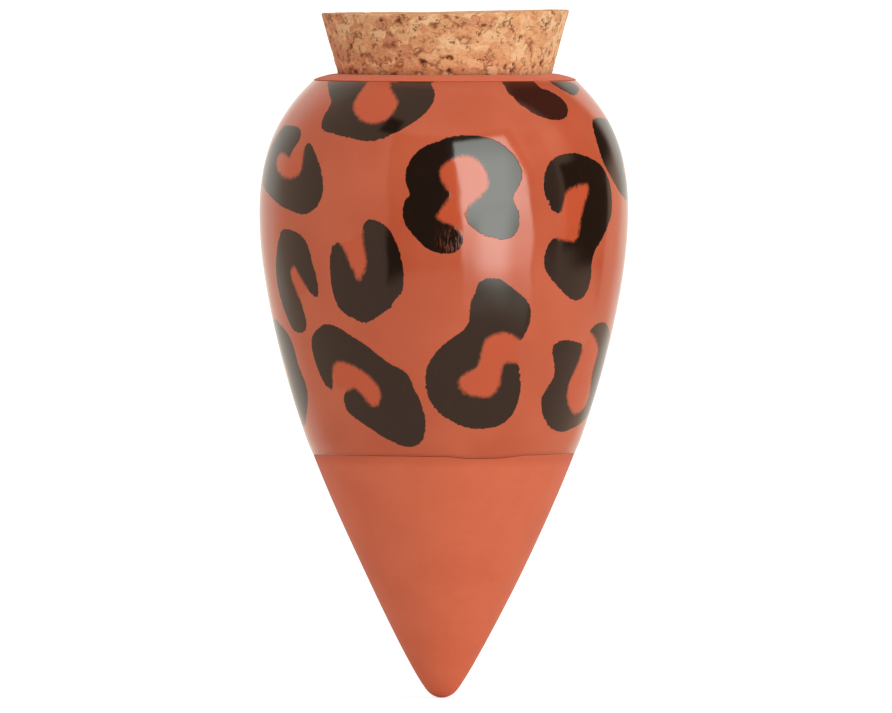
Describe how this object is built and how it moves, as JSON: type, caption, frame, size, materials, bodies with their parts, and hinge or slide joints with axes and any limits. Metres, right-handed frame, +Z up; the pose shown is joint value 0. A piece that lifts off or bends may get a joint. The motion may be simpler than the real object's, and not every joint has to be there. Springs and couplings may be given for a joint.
{
  "type": "self watering spike",
  "caption": "Hollow terracotta spike with a glazed, leopard-painted water chamber, a bare porous point that seeps water into soil, and a tapered cork stopper.",
  "frame": {"origin": "centre of the soil line, the circle where the glaze ends and the bare clay foot begins", "axes": "+Z up along the spike's axis, from the point towards the cork; the round body has no front of its own, and the painted side in the picture faces -Y"},
  "size_m": [0.08, 0.08, 0.1491],
  "materials": {
    "bare_terracotta": "matte",
    "painted_glaze": "gloss",
    "pressed_cork": "matte"
  },
  "bodies": {
    "spike": {"terracotta_body": "bare_terracotta", "glaze_coat": "painted_glaze"},
    "stopper": {"cork_stopper": "pressed_cork"}
  },
  "joints": [
    {"name": "stopper_lift", "type": "slide", "parent": "spike", "child": "stopper", "axis": [0, 0, 1], "range_m": [0, 0.06]}
  ]
}
